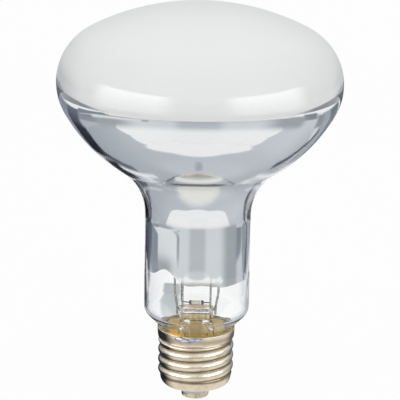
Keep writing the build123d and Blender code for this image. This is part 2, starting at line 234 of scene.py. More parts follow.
class Value:
    """A number in a shader; arithmetic on it adds Math nodes."""

    def __init__(self, nodes, socket):
        self.nodes = nodes
        self.socket = socket

    def __add__(self, other):
        return self.nodes.math("ADD", self, other)

    def __sub__(self, other):
        return self.nodes.math("SUBTRACT", self, other)

    def __rsub__(self, other):
        return self.nodes.math("SUBTRACT", other, self)

    def __mul__(self, other):
        return self.nodes.math("MULTIPLY", self, other)

    def __neg__(self):
        return self * -1

    def __abs__(self):
        return self.nodes.math("ABSOLUTE", self)

    __radd__ = __add__
    __rmul__ = __mul__


class Nodes:
    """A node tree and the ways to add to it."""

    def __init__(self, tree):
        self.tree = tree

    def set(self, socket, value):
        """Links a value to a socket, or sets it there."""
        if isinstance(value, Value):
            self.tree.links.new(value.socket, socket)
        elif socket.type == "RGBA" and len(value) == 3:
            socket.default_value = (*value, 1)
        else:
            socket.default_value = value

    def node(self, kind, settings=None, sockets=None):
        """Adds a node, sets it up and returns its outputs by name."""
        made = self.tree.nodes.new(kind)
        for name, setting in (settings or {}).items():
            setattr(made, name, setting)
        for name, value in (sockets or {}).items():
            self.set(made.inputs[name], value)
        return {output.name: Value(self, output) for output in made.outputs if output.enabled}

    def math(self, operation, *values):
        """A Math node on one or two values."""
        return self.node("ShaderNodeMath", {"operation": operation}, dict(enumerate(values)))["Value"]

    def axes(self, place):
        """X, Y and Z of a vector."""
        return self.node("ShaderNodeSeparateXYZ", None, {"Vector": place}).values()

    def radius(self, x, y):
        """Distance from the lamp axis."""
        return self.math("SQRT", x * x + y * y)

    def around(self, x, y):
        """Angle round the lamp, 0 at the front and growing to the right."""
        return self.math("ARCTAN2", x, -y)

    def step(self, value, low, high):
        """Smooth 0 to 1 as the value goes from low to high."""
        settings = {"interpolation_type": "SMOOTHSTEP"}
        sockets = {"Value": value, "From Min": low, "From Max": high}
        return self.node("ShaderNodeMapRange", settings, sockets)["Result"]

    def window(self, value, low, high, soft):
        """1 between low and high, soft at both ends."""
        rise = self.step(value, low - soft, low + soft)
        return rise * (1 - self.step(value, high - soft, high + soft))

    def blend(self, factor, first, second):
        """Colour between two colours."""
        sockets = {0: factor, 6: first, 7: second}
        return self.node("ShaderNodeMix", {"data_type": "RGBA"}, sockets)["Result"]

    def seen(self):
        """1 for rays from the camera, from metal and through glass, else 0."""
        path = self.node("ShaderNodeLightPath")
        near = self.math("MAXIMUM", path["Is Camera Ray"], path["Is Glossy Ray"])
        return self.math("MAXIMUM", near, path["Is Transmission Ray"])

    def mix(self, factor, first, second):
        """Shader between two shaders, as the whole surface."""
        made = self.node("ShaderNodeMixShader", None, {0: factor, 1: first, 2: second})["Shader"]
        self.set(self.tree.nodes["Material Output"].inputs["Surface"], made)


class Surface(Nodes):
    """The nodes of a new material."""

    def __init__(self, name):
        self.material = bpy.data.materials.new(name)
        self.material.use_nodes = True
        super().__init__(self.material.node_tree)
        self.shader = self.tree.nodes["Principled BSDF"]
        self.place = self.node("ShaderNodeTexCoord")["Object"]


class Finish(Surface):
    """A material with one Principled shader."""

    def __init__(self, name, **constants):
        super().__init__(name)
        for socket, value in constants.items():
            self.feed(socket.replace("_", " ").title().replace("Ior", "IOR"), value)

    def feed(self, socket, value):
        """Gives a value to a socket of the shader."""
        self.set(self.shader.inputs[socket], value)

    def grain(self, scale, detail=3.0, stretch=(1, 1, 1)):
        """Noise between 0 and 1 at a scale per metre, finer along a stretched axis."""
        place = self.node("ShaderNodeMapping", None, {"Vector": self.place, "Scale": stretch})["Vector"]
        sockets = {"Vector": place, "Scale": scale, "Detail": detail}
        return self.node("ShaderNodeTexNoise", None, sockets)["Fac"]

    def bump(self, height, distance):
        """Turns a height into the shader's normal."""
        sockets = {"Height": height, "Distance": distance, "Strength": 1.0}
        self.feed("Normal", self.node("ShaderNodeBump", None, sockets)["Normal"])


class Glow(Surface):
    """A surface that glows where its mask is 1 and isn't there where it is 0."""

    def __init__(self, name, tint, mask, strength):
        super().__init__(name)
        self.tree.nodes.remove(self.shader)
        shown = mask(self, *self.axes(self.place))
        shade = tint(self, *self.axes(self.place))
        glow = self.node("ShaderNodeEmission", None, {"Color": shade, "Strength": strength})["Emission"]
        self.mix(shown, self.node("ShaderNodeBsdfTransparent")["BSDF"], glow)


class Outline:
    """A chain of edges in the XZ plane, drawn on from its last point."""

    def __init__(self, x, z):
        self.bm = bmesh.new()
        self.start = self.tip = self.bm.verts.new((x, 0, z))

    def line(self, *points):
        """Straight on to each point."""
        for x, z in points:
            self.tip = bmesh.ops.extrude_vert_indiv(self.bm, verts=[self.tip])["verts"][0]
            self.tip.co = (x, 0, z)

    def arc(self, x, z, turn, steps):
        """Turns the last point about a centre."""
        made = bmesh.ops.spin(
            self.bm, geom=[self.tip], cent=(x, 0, z), axis=(0, -1, 0), angle=turn, steps=steps
        )
        self.tip = next(part for part in made["geom_last"] if isinstance(part, bmesh.types.BMVert))

    def close(self):
        self.bm.edges.new((self.tip, self.start))

    def turn(self, steps):
        """Turns the whole chain about Z and closes it at the seam and the poles."""
        bmesh.ops.spin(
            self.bm,
            geom=self.bm.verts[:] + self.bm.edges[:],
            cent=(0, 0, 0),
            axis=(0, 0, 1),
            angle=math.tau,
            steps=steps,
            use_merge=True,
        )
        tidy(self.bm)
        return self.bm


def tidy(bm):
    """Merges doubles and points the faces outwards."""
    bmesh.ops.remove_doubles(bm, verts=bm.verts, dist=CLOSE)
    bmesh.ops.recalc_face_normals(bm, faces=bm.faces)


def rounded(points, reach, steps=6):
    """Path through points in metres, with its corners rounded off."""
    path = [points[0]]
    for before, corner, after in zip(points, points[1:], points[2:]):
        start = corner + (before - corner).normalized() * min(reach, (before - corner).length / 2)
        end = corner + (after - corner).normalized() * min(reach, (after - corner).length / 2)
        for step in range(steps + 1):
            share = step / steps
            path.append(start.lerp(corner, share).lerp(corner.lerp(end, share), share))
    return path + [points[-1]]


def extruded(bm, edges):
    """Extrudes edges; gives the new vertices and the new edges between them."""
    made = bmesh.ops.extrude_edge_only(bm, edges=edges)["geom"]
    verts = [part for part in made if isinstance(part, bmesh.types.BMVert)]
    edges = [part for part in made if isinstance(part, bmesh.types.BMEdge)]
    return verts, [edge for edge in edges if all(vert in verts for vert in edge.verts)]


def run_wire(bm, points, radius, bend=1.2, sides=14):
    """Runs a round wire along points in millimetres."""
    path = rounded([Vector(point) * MM for point in points], bend * MM)
    heading = (path[1] - path[0]).normalized()
    place = Matrix.Translation(path[0]) @ heading.to_track_quat("Z", "Y").to_matrix().to_4x4()
    made = bmesh.ops.create_circle(bm, cap_ends=True, segments=sides, radius=radius, matrix=place)
    edges = list({edge for vert in made["verts"] for edge in vert.link_edges})
    for before, here, after in zip(path, path[1:], path[2:] + [path[-1] * 2 - path[-2]]):
        ring, edges = extruded(bm, edges)
        onward = ((here - before).normalized() + (after - here).normalized()).normalized()
        bmesh.ops.translate(bm, vec=here - before, verts=ring)
        turn = heading.rotation_difference(onward).to_matrix()
        bmesh.ops.rotate(bm, cent=here, matrix=turn, verts=ring)
        heading = onward
    bmesh.ops.edgeloop_fill(bm, edges=edges)


def piece(name, bm, finishes, slot, *nodes, sharp=40):
    """Makes a finished object from a bmesh, in the place of CAD nodes."""
    mesh = bpy.data.meshes.new(name)
    bm.to_mesh(mesh)
    bm.free()
    for finish in finishes:
        mesh.materials.append(finish.material)
    mesh.shade_smooth()
    mesh.set_sharp_from_angle(angle=math.radians(sharp))
    made = bpy.data.objects.new(name, mesh)
    bpy.context.scene.collection.objects.link(made)
    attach(made, "root")
    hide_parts(*nodes)


def dress(finish, *nodes):
    """Gives CAD nodes a finish."""
    for name in nodes:
        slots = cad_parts[name].data.materials
        slots.clear()
        slots.append(finish.material)


def smooth(value, low, high):
    """Smooth 0 to 1 as the value goes from low to high."""
    share = min(max((value - low) / (high - low), 0), 1)
    return share * share * (3 - 2 * share)


def azimuth(point):
    """Angle round the lamp, 0 at the front and growing to the right."""
    return math.atan2(point.x, -point.y)


def rough(point, size, seed=0.0):
    """Noise between -1 and 1 with features of a size in metres."""
    return noise.noise(point / size + Vector((seed, seed, seed)))


class BulbArcs:
    """Centres and angles of the arcs of one wall of the bulb."""

    def __init__(self, s, inset=0.0):
        equator = s.overall_length - s.crown_height
        reach = s.bulb_diameter / 2 - s.rim_radius
        rise = s.crown_height
        dome_radius = (reach**2 + rise**2 - s.rim_radius**2) / (2 * (rise - s.rim_radius))
        self.dome = Vector((0, s.overall_length - dome_radius))
        self.rim = Vector((reach, equator))
        self.neck = s.neck_diameter / 2 - inset
        self.fillet = Vector((s.neck_diameter / 2 + s.neck_fillet, equator - s.bowl_depth))
        span = self.fillet - self.rim
        near = s.bowl_radius - s.rim_radius
        far = s.bowl_radius + s.neck_fillet
        along = (near**2 - far**2 + span.length**2) / (2 * span.length)
        step = span.normalized()
        aside = math.sqrt(near**2 - along**2)
        self.bowl = self.rim + step * along + Vector((step.y, -step.x)) * aside
        if inset:
            far = s.bowl_radius - inset + s.inner_fillet
            self.fillet.x = self.neck + s.inner_fillet
            self.fillet.y = self.bowl.y - math.sqrt(far**2 - (self.fillet.x - self.bowl.x) ** 2)
        self.dome_end = self.bearing(self.rim - self.dome)
        self.frost = math.asin((s.frost_edge - equator) / s.rim_radius)
        self.rim_end = self.bearing(self.rim - self.bowl)
        self.bowl_end = self.bearing(self.fillet - self.bowl)
        self.shoulder = Vector((s.neck_diameter / 2 - s.shoulder_radius, s.neck_base))
        turn = Vector((math.cos(s.shoulder_turn), -math.sin(s.shoulder_turn)))
        cone = self.shoulder + turn * (s.shoulder_radius - inset)
        seal = s.seal_diameter / 2 - inset
        self.cone = tuple(cone)
        self.seal = [(seal, cone.y - (cone.x - seal) / math.tan(s.shoulder_turn)), (seal, s.seal_foot)]

    @staticmethod
    def bearing(vector):
        return math.atan2(vector.y, vector.x)

    def runs(self):
        """Centre, turn and steps of the arcs above the neck, from the crown down."""
        return [
            (*self.dome, self.dome_end - math.pi / 2, 30),
            (*self.rim, self.frost - self.dome_end, 20),
            (*self.rim, self.rim_end - self.frost, 12),
            (*self.bowl, self.bowl_end - self.rim_end, 24),
            (*self.fillet, -self.bowl_end, 24),
        ]


class BULB_OT_glass(bpy.types.Operator):
    """Blow the bulb: clear wall, frosted crown and mirrored inside"""

    bl_idname = "bulb.glass"
    bl_label = "Glass bulb"

    def execute(self, context):
        s = context.scene.bulb_sizes
        tints = context.scene.bulb_finishes
        finishes = [self.clear(tints), self.frosted(s, tints), self.mirror(s, tints), self.thin(s, tints)]
        _, frosted, mirror, thin = range(len(finishes))
        bm = self.walls(s)
        film = s.mirror_edge + s.film_height
        middle = s.overall_length - s.crown_height - s.rim_radius / 2
        for face in bm.faces:
            centre = face.calc_center_median()
            inside = face.normal.dot(centre - Vector((0, 0, min(centre.z, middle)))) < 0
            if centre.z > s.frost_edge:
                face.material_index = frosted
            elif inside and centre.z > s.mirror_edge:
                front = abs(azimuth(centre)) < s.film_turn and centre.z < film
                face.material_index = thin if front else mirror
        neck = s.neck_diameter / 2 - s.glass_wall
        for vert in bm.verts:
            if abs(vert.co.z - s.mirror_edge) < CLOSE and abs(vert.co.xy.length - neck) < CLOSE:
                vert.co.z += self.lift(azimuth(vert.co)) * s.mirror_rise
        piece("bulb_glass", bm, finishes, "bulb_glass", "glass_envelope")
        return {"FINISHED"}

    @staticmethod
    def walls(s):
        """Outer and inner wall of the bulb, turned in one."""
        outer, inner = BulbArcs(s), BulbArcs(s, s.glass_wall)
        outline = Outline(0, s.overall_length)
        for run in outer.runs():
            outline.arc(*run)
        outline.line((outer.neck, s.neck_base))
        outline.arc(*outer.shoulder, -s.shoulder_turn, 8)
        outline.line(*outer.seal, *reversed(inner.seal), inner.cone)
        outline.arc(*inner.shoulder, s.shoulder_turn, 8)
        levels = (s.mirror_edge, s.mirror_edge + s.film_height, inner.fillet.y)
        outline.line(*((inner.neck, level) for level in levels))
        for x, z, turn, steps in reversed(inner.runs()):
            outline.arc(x, z, -turn, steps)
        return outline.turn(192)

    @staticmethod
    def lift(turn):
        """Uneven lower edge of the mirror, as a share of its rise."""
        wave = 0.05 * math.sin(5 * turn + 1) + 0.03 * math.sin(9 * turn)
        bumps = ((0.95, -0.66, 0.30), (0.42, -1.35, 0.40), (0.07, 0.0, 0.22))
        return wave + sum(high * math.exp(-(((turn - at) / wide) ** 2)) for high, at, wide in bumps)

    @staticmethod
    def clear(tints):
        """Clear glass with faint smears."""
        finish = Finish("clear_glass", transmission_weight=1.0, ior=1.5)
        finish.feed("Base Color", finish.blend(finish.grain(60, 2), tints.glass, WHITE))
        finish.feed("Roughness", finish.step(finish.grain(220, 4), 0.62, 0.9) * 0.03)
        return finish

    @staticmethod
    def frosted(s, tints):
        """Frosting with painted shade at the back and low at the sides, darker towards its lower edge,
        glossy low at the front.
        """
        finish = Finish("frosted_crown", coat_roughness=0.03, coat_ior=1.5, specular_ior_level=0.2)
        x, y, z = finish.axes(finish.place)
        speckle = finish.grain(2600, 2)
        frost = finish.blend(speckle * 0.10, tints.frost, tints.frost_speckle)
        # Painted shade darkens the frosting at the back and low down at both sides, where less light falls;
        # it is also darker towards its lower edge.
        far = 0.13 * finish.step(y, -30 * MM, 8 * MM) + 0.07 * finish.step(y, 8 * MM, 44 * MM)
        ends = 0.60 * finish.step(-x, 37 * MM, 49 * MM) + 0.50 * finish.step(x, 42 * MM, 50 * MM)
        ends = ends * (1 - 0.8 * finish.step(z, 111 * MM, 121 * MM))
        lip = 0.08 * (1 - finish.step(z, s.frost_edge, s.frost_edge + 5 * MM))
        tint = finish.blend(far + ends + lip, frost, tints.frost_shade)
        # At the sides a line of bare glass runs under the frosting.
        side = abs(finish.around(x, y))
        rise = z - finish.step(side, 0.6, 1.3) * (2.2 * MM)
        bare = 1 - finish.step(rise, s.frost_edge, s.frost_edge + 0.7 * MM)
        bare = bare * finish.step(side, 0.6, 0.9)
        finish.feed("Base Color", finish.blend(bare * 0.85, tint, tints.frost_bare))
        # The gloss ends on the dome, lower at the sides, and is faint behind.
        coat = 1 - finish.step(z + finish.step(side, 0.6, 1.0) * (8 * MM), 117 * MM, 126 * MM)
        finish.feed("Coat Weight", coat * (1 - 0.9 * finish.step(side, 1.5, 1.85)))
        finish.feed("Roughness", 0.45 + 0.25 * finish.grain(900, 3))
        finish.bump(speckle, 0.03 * MM)
        return finish

    @staticmethod
    def metal(finish, s, tints):
        """Aluminium film with faint clouds; gives its colour, dark at the upper edge."""
        _, _, z = finish.axes(finish.place)
        edge = finish.step(z, s.frost_edge - 1.5 * MM, s.frost_edge - 0.3 * MM)
        film = finish.blend(finish.grain(35, 4), tints.mirror, tints.mirror_dull)
        finish.feed("Roughness", 0.012 + 0.03 * finish.step(finish.grain(90, 5), 0.45, 0.8))
        return finish.blend(edge * 0.12, film, tints.mirror_line)

    def mirror(self, s, tints):
        finish = Finish("mirror_coat", metallic=1.0)
        finish.feed("Base Color", self.metal(finish, s, tints))
        return finish

    def thin(self, s, tints):
        """Lower front of the mirror, where an arch of the film is thin."""
        finish = Finish("thin_mirror", metallic=1.0)
        film = self.metal(finish, s, tints)
        x, _, z = finish.axes(finish.place)
        # The lower edge of the arch bows up a little in its middle.
        wide, high = 3.7 * MM, 0.4 * MM
        bow = finish.math("EXPONENT", x * x * (-1 / wide**2)) * high
        edge = 1 - finish.step(z - s.mirror_edge - bow, 0.6 * MM, 2.2 * MM)
        edge = edge * (1 - finish.step(abs(x), 5.5 * MM, 8.5 * MM))
        finish.feed("Base Color", finish.blend(edge * 0.8, film, tints.arch_line))
        side = x * (2 / s.thin_width)
        arch = (z - s.mirror_edge) * (1 / s.thin_height) + side * side
        share = 0.80 + 0.20 * finish.step(arch, 0.80, 1.10)
        sockets = {"Transmission Weight": 1.0, "Roughness": 0.02, "IOR": 1.5, "Base Color": WHITE}
        glass = finish.node("ShaderNodeBsdfPrincipled", None, sockets)["BSDF"]
        finish.mix(share, glass, Value(finish, finish.shader.outputs["BSDF"]))
        return finish


class BULB_OT_cap(bpy.types.Operator):
    """Roll the screw cap with its thread"""

    bl_idname = "bulb.cap"
    bl_label = "Screw cap"

    def execute(self, context):
        s = context.scene.cap_sizes
        tints = context.scene.bulb_finishes
        finishes = [self.plated(s, tints), self.brass(tints)]
        plated, brass = range(len(finishes))
        bm = self.sheet(s)
        for face in bm.faces:
            inside = face.normal.xy.dot(face.calc_center_median().xy) < 0
            face.material_index = brass if inside else plated
        for vert in bm.verts:
            vert.co.xy *= 1 + self.swell(s, vert.co) / vert.co.xy.length
        bmesh.ops.recalc_face_normals(bm, faces=bm.faces)
        piece("cap_thread_shell", bm, finishes, "plated_brass", "cap_shell", sharp=50)
        return {"FINISHED"}

    @staticmethod
    def sheet(s):
        """Sheet of the cap before its thread is rolled."""
        root = s.thread_root / 2
        inner = root - s.shell_wall
        centre = (root - s.nose_round, s.nose_height)
        tilt = s.nose_turn
        start = (centre[0] + math.cos(tilt) * s.nose_round, centre[1] - math.sin(tilt) * s.nose_round)
        rim = s.collar_radius + s.collar_flare
        step = s.collar_radius - root
        rings = 120
        rise = (s.collar_foot - s.nose_height) / rings
        barrel = [s.nose_height + rise * ring for ring in range(rings + 1)]
        # Rounded step from the barrel to the collar, in shares of the step.
        shoulder = [(0.30, 0.03), (0.62, 0.16), (0.86, 0.40), (1.0, 0.85)]
        outline = Outline(s.nose_mouth, s.nose_foot)
        outline.line(start)
        outline.arc(*centre, tilt, 10)
        outline.line(*((root, z) for z in barrel[1:]))
        outline.line(*((root + step * x, s.collar_foot + step * z) for x, z in shoulder))
        outline.line((rim, s.shell_rim - s.shell_wall / 2))
        outline.arc(rim - s.shell_wall / 2, s.shell_rim - s.shell_wall / 2, math.pi, 6)
        outline.line(*((inner + step * x, s.collar_foot + step * z) for x, z in reversed(shoulder)))
        outline.line(*((inner, z) for z in reversed(barrel)))
        outline.arc(*centre, -tilt, 10)
        outline.line((s.nose_mouth - s.shell_wall, s.nose_foot + s.shell_wall))
        outline.close()
        return outline.turn(160)

    @staticmethod
    def swell(s, point):
        """How far the rolled thread pushes the sheet out at a point."""
        if not s.nose_height <= point.z <= s.collar_foot:
            return 0
        turns = (point.z - s.crest_height) / s.thread_pitch - azimuth(point) / math.tau
        wave = 0.5 + 0.5 * math.cos(math.tau * turns)
        fade = smooth(point.z, s.nose_height - 0.5 * MM, s.nose_height + s.thread_start)
        fade *= 1 - smooth(point.z, s.collar_foot - s.thread_end, s.collar_foot)
        # Below 1, so that the crests are fuller than the roots.
        fullness = 0.55
        return wave**fullness * fade * (s.thread_crest - s.thread_root) / 2

    @staticmethod
    def plated(s, tints):
        """Nickel plating, tarnished in patches, with painted shade in the roots of the thread."""
        finish = Finish("plated_brass", metallic=1.0)
        patch = finish.step(finish.grain(240, 5), 0.42, 0.72)
        worn = finish.step(finish.grain(90, 3), 0.45, 0.65)
        tint = finish.blend(worn * 0.35, tints.plating, tints.plating_worn)
        x, y, z = finish.axes(finish.place)
        # Painted shade in the roots of the thread, where the sheet dips in.
        crest, root = s.thread_crest / 2 - 0.25 * MM, s.thread_root / 2 + 0.05 * MM
        root_shade = finish.step(finish.radius(x, y), crest, root)
        root_shade = root_shade * finish.window(z, s.nose_height + 0.5 * MM, s.collar_foot - 0.2 * MM, 0.4 * MM)
        tint = finish.blend(patch * 0.5, tint, tints.tarnish)
        finish.feed("Base Color", finish.blend(root_shade * 0.85, tint, tints.thread_shade))
        finish.feed("Roughness", 0.12 + 0.16 * patch + 0.06 * finish.grain(1500, 4))
        finish.bump(finish.grain(900, 3, (1, 1, 14)), 0.015 * MM)
        return finish

    @staticmethod
    def brass(tints):
        """Bare brass inside of the cap."""
        finish = Finish("bare_brass", metallic=1.0)
        patch = finish.grain(300, 4)
        finish.feed("Base Color", finish.blend(patch, tints.brass, tints.cement))
        finish.feed("Roughness", 0.3 + 0.3 * patch)
        return finish


class BULB_OT_contact(bpy.types.Operator):
    """Turn the centre contact, its solder plug and the insulator"""

    bl_idname = "bulb.contact"
    bl_label = "Contact end"

    def execute(self, context):
        s = context.scene.cap_sizes
        tints = context.scene.bulb_finishes
        low, edge = s.contact_radius - s.contact_edge, s.contact_edge
        button = Outline(s.plug_radius, 0)
        button.line((low, 0))
        button.arc(low, edge, math.pi / 2, 8)
        button.line((s.contact_radius, s.contact_height), (s.plug_radius, s.contact_height))
        button.close()
        finish = mottled("contact_plate", tints.contact, 0.22, 500)
        piece("contact_button", button.turn(96), [finish], "contact_metal", "centre_contact")
        plug = Outline(0, 0)
        plug.line((s.plug_radius * 0.7, 0), (s.plug_radius, 0.15 * MM))
        plug.line((s.plug_radius, s.contact_height), (0, s.contact_height))
        finish = mottled("tin_plug", tints.solder, 0.3, 1200)
        piece("contact_plug", plug.turn(48), [finish], "solder", "contact_solder")
        skirt = s.contact_radius + 0.15 * MM
        flat = s.nose_mouth - 0.7 * MM
        ring = Outline(s.plug_radius, s.contact_height)
        ring.line((skirt, s.contact_height), (skirt + 0.45 * MM, s.contact_height + 0.25 * MM))
        ring.line((skirt + 0.8 * MM, s.nose_foot - 0.75 * MM))
        ring.line((flat, s.nose_foot - 0.1 * MM), (flat, s.nose_foot + 0.4 * MM))
        ring.line((s.nose_mouth, s.nose_foot + 0.6 * MM), (s.nose_mouth + 3 * MM, s.nose_foot + 2 * MM))
        ring.line((s.plug_radius, s.nose_foot + 2.4 * MM))
        ring.close()
        piece("insulator_ring", ring.turn(96), [self.glaze(tints)], "insulator_glass", "cap_insulator")
        return {"FINISHED"}

    @staticmethod
    def glaze(tints):
        """Pale glass with faint clouds."""
        finish = Finish("insulator_glass", coat_weight=0.6)
        shade = finish.grain(300, 4)
        finish.feed("Base Color", finish.blend(shade, tints.insulator, tints.insulator_dull))
        finish.feed("Roughness", 0.25 + 0.3 * shade)
        return finish


def mottled(name, tint, roughness, scale):
    """Dull metal with darker spots."""
    finish = Finish(name, metallic=1.0)
    spot = finish.step(finish.grain(scale, 4), 0.40, 0.72)
    finish.feed("Base Color", finish.blend(spot, tint, [part * 0.5 for part in tint]))
    finish.feed("Roughness", roughness + 0.2 * spot)
    finish.bump(finish.grain(scale * 2.5, 3), 0.03 * MM)
    return finish


class BULB_OT_solder(bpy.types.Operator):
    """Run the side solder over the rim of the cap"""

    bl_idname = "bulb.solder"
    bl_label = "Side solder"

    def execute(self, context):
        s = context.scene.cap_sizes
        bm = bmesh.new()
        for turn, level, wide, thick, tall in (
            (0.0, -1.5, 3.1, 0.75, 0.95),
            (-0.17, -0.9, 2.2, 0.70, 0.80),
            (0.20, -0.9, 2.4, 0.60, 0.70),
            (0.36, -0.8, 1.0, 0.55, 0.50),
        ):
            ball = bmesh.ops.create_icosphere(bm, subdivisions=5, radius=MM)["verts"]
            bmesh.ops.scale(bm, vec=(wide, thick, tall), verts=ball)
            for vert in ball:
                self.lay(s, vert, turn, level * MM)
        tidy(bm)
        finish = mottled("tin_solder", context.scene.bulb_finishes.solder, 0.24, 330)
        piece("solder_run", bm, [finish], "solder", "side_solder")
        return {"FINISHED"}

    @staticmethod
    def lay(s, vert, turn, level):
        """Bends a vertex of a lump round the collar."""
        rim = s.collar_radius + s.collar_flare
        lump = vert.co * (1 + 0.16 * rough(vert.co, 1.1 * MM, turn * 30))
        around = s.solder_azimuth + turn + lump.x / rim
        radius = rim + lump.y
        vert.co = (radius * math.sin(around), -radius * math.cos(around), s.shell_rim + level + lump.z)


class BULB_OT_cement(bpy.types.Operator):
    """Pour the basing cement round the seal and under it"""

    bl_idname = "bulb.cement"
    bl_label = "Basing cement"

    def execute(self, context):
        s = context.scene.cap_sizes
        tints = context.scene.bulb_finishes
        bulb = context.scene.bulb_sizes
        gap = 0.02 * MM
        wall = s.collar_radius - s.shell_wall - gap
        barrel = s.thread_root / 2 - s.shell_wall - gap
        glass = bulb.seal_diameter / 2 + gap
        head = BulbArcs(bulb).seal[0][1]
        foot = bulb.seal_foot - 0.1 * MM
        bore = 4.6 * MM
        outline = Outline(bore, foot - 1.6 * MM)
        outline.line((barrel, foot - 1.2 * MM), (barrel, s.collar_foot))
        outline.line((wall, s.collar_foot + 0.5 * MM), (wall, s.shell_rim - 0.25 * MM))
        outline.line(((wall + glass) / 2, s.shell_rim + 0.1 * MM))
        outline.line((glass + 0.5 * MM, s.shell_rim - 0.2 * MM), (glass, head), (glass, foot))
        outline.line((9 * MM, foot - 0.1 * MM), (bore, foot - 0.6 * MM))
        outline.close()
        bm = outline.turn(128)
        bmesh.ops.subdivide_edges(bm, edges=bm.edges[:], cuts=1, use_grid_fill=True)
        for vert in bm.verts:
            if vert.co.z > s.shell_rim - 0.4 * MM or vert.co.xy.length < glass - 0.5 * MM:
                vert.co.z += 0.14 * MM * rough(vert.co, 1.6 * MM)
        piece("cement_ring", bm, [self.resin(s, tints)], "basing_cement", "cap_cement")
        return {"FINISHED"}

    @staticmethod
    def resin(s, tints):
        """Brown cement, olive at its top, with a painted glint at the front left, glowing with painted
        light below its top.
        """
        finish = Finish("basing_cement", coat_weight=0.5, coat_roughness=0.15, emission_strength=0.5)
        x, y, z = finish.axes(finish.place)
        lump = finish.grain(420, 5)
        brown = finish.blend(finish.step(lump, 0.35, 0.72), tints.cement, tints.cement_olive)
        high = finish.step(z, s.shell_rim - 4 * MM, s.shell_rim - 1 * MM)
        # Painted highlight: an orange glint at the front left.
        glint = finish.window(finish.around(x, y), -0.85, -0.35, 0.12) * finish.step(lump, 0.3, 0.5)
        brown = finish.blend(high * 0.7, brown, tints.cement_olive)
        brown = finish.blend(glint, brown, tints.cement_glint)
        finish.feed("Base Color", brown)
        finish.feed("Roughness", 0.35 + 0.3 * lump)
        # Painted light: the cement glows below its top and at the glint.
        low = 1 - finish.step(z, s.shell_rim - 1.0 * MM, s.shell_rim - 0.4 * MM)
        finish.feed("Emission Color", finish.blend(finish.math("MAXIMUM", low, glint), BLACK, brown))
        finish.bump(lump, 0.25 * MM)
        return finish


class BULB_OT_stem(bpy.types.Operator):
    """Draw the glass stem: flare, tube, flat press and exhaust tube"""

    bl_idname = "bulb.stem"
    bl_label = "Glass stem"

    def execute(self, context):
        s = context.scene.stem_sizes
        tints = context.scene.bulb_finishes
        foot = context.scene.bulb_sizes.seal_foot
        bore = s.tube_radius - s.stem_wall
        turn = s.flare_radius - s.tube_radius
        level = foot + s.stem_wall + turn
        lip = 0.8 * MM
        outline = Outline(0, s.press_top)
        outline.line((s.tube_radius - lip, s.press_top))
        outline.arc(s.tube_radius - lip, s.press_top - lip, -math.pi / 2, 6)
        outline.line(*((s.tube_radius, s.press_top - lip - step * MM) for step in range(1, 7)))
        outline.line((s.tube_radius, level))
        outline.arc(s.flare_radius, level, math.pi / 2, 16)
        outline.line((s.flare_radius, foot))
        outline.arc(s.flare_radius, level, -math.pi / 2, 16)
        outline.line((bore, s.press_foot), (bore * 0.8, s.press_foot + 1.2 * MM))
        exhaust = s.exhaust_radius
        outline.line((exhaust, s.press_foot + 0.6 * MM), (exhaust, s.exhaust_tip + 2 * MM))
        outline.line((exhaust * 0.7, s.exhaust_tip + 0.6 * MM), (0, s.exhaust_tip))
        bm = outline.turn(96)
        for vert in bm.verts:
            flat = smooth(vert.co.z, s.press_foot, s.press_foot + 5 * MM)
            vert.co.x *= 1 + flat * (s.press_width / 2 / s.tube_radius - 1)
            vert.co.y *= 1 + flat * (s.press_depth / 2 / s.tube_radius - 1)
        finish = self.streaked(s, tints)
        piece("stem_tube", bm, [finish], "stem_glass", "glass_stem")
        dress(finish, "filament_beads")
        dress(hazy("fused_quartz", tints.quartz), "arc_tube")
        return {"FINISHED"}

    @staticmethod
    def streaked(s, tints):
        """Hazy glass whose press glows in pale streaks, as painted light."""
        finish = hazy("stem_glass", tints.stem, emission_strength=0.16)
        _, _, z = finish.axes(finish.place)
        # Painted light: pale streaks in the press glow.
        streak = finish.step(finish.grain(900, 2, (1, 1, 0.12)), 0.40, 0.65)
        pale = streak * finish.window(z, s.press_foot + 3 * MM, s.press_top, 1.5 * MM)
        finish.feed("Emission Color", finish.blend(pale, BLACK, tints.stem_streak_glow))
        return finish


def hazy(name, tint, **constants):
    """Clear glass with a faint haze."""
    finish = Finish(name, transmission_weight=1.0, ior=1.2, **constants)
    finish.feed("Base Color", finish.blend(finish.grain(400, 3), tint, WHITE))
    finish.feed("Roughness", 0.05 * finish.step(finish.grain(700, 3), 0.5, 0.8))
    return finish


